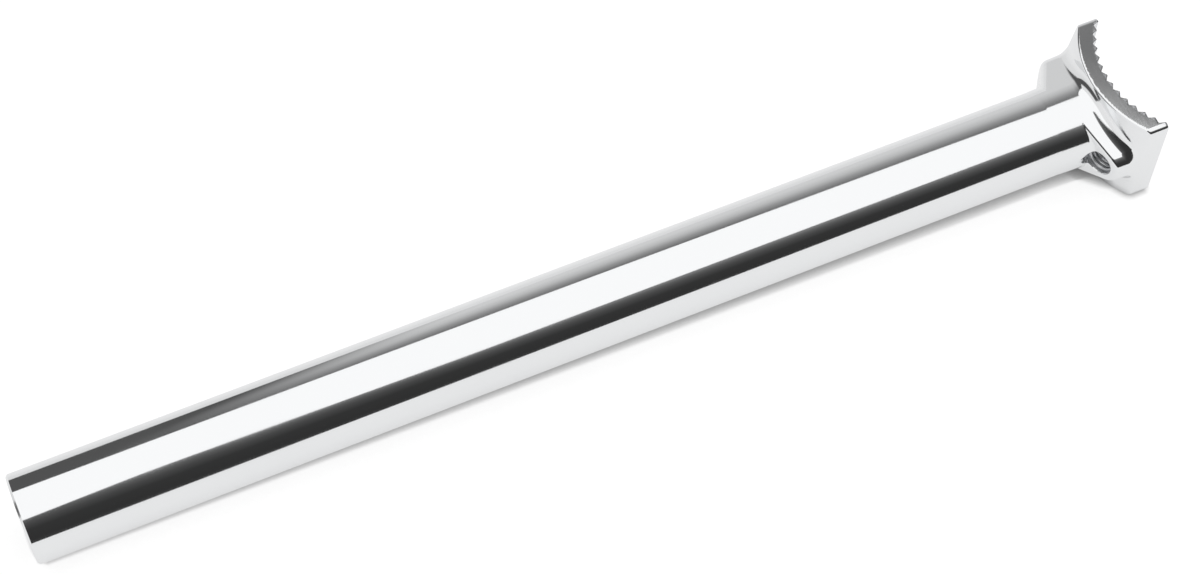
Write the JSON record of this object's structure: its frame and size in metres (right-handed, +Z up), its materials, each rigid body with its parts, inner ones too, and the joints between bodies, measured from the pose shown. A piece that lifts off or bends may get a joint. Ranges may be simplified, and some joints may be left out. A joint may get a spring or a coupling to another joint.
{
  "type": "bicycle seatpost",
  "caption": "Bicycle seatpost: a straight polished tube with a forged head, which has a concave serrated saddle cradle and an angled threaded hole for the saddle bolt.",
  "frame": {"origin": "centre of the bounding box's underside, on the table, beneath the middle of the post", "axes": "+X along the post from its lower end to the saddle cradle (the post rises 0.7 degrees towards the cradle), +Y away from the bolt boss, +Z up from the table"},
  "size_m": [0.3326, 0.042, 0.0331],
  "materials": {
    "polished_aluminium": "polished to a mirror"
  },
  "bodies": {
    "root": {"seatpost": "polished_aluminium"}
  },
  "joints": []
}
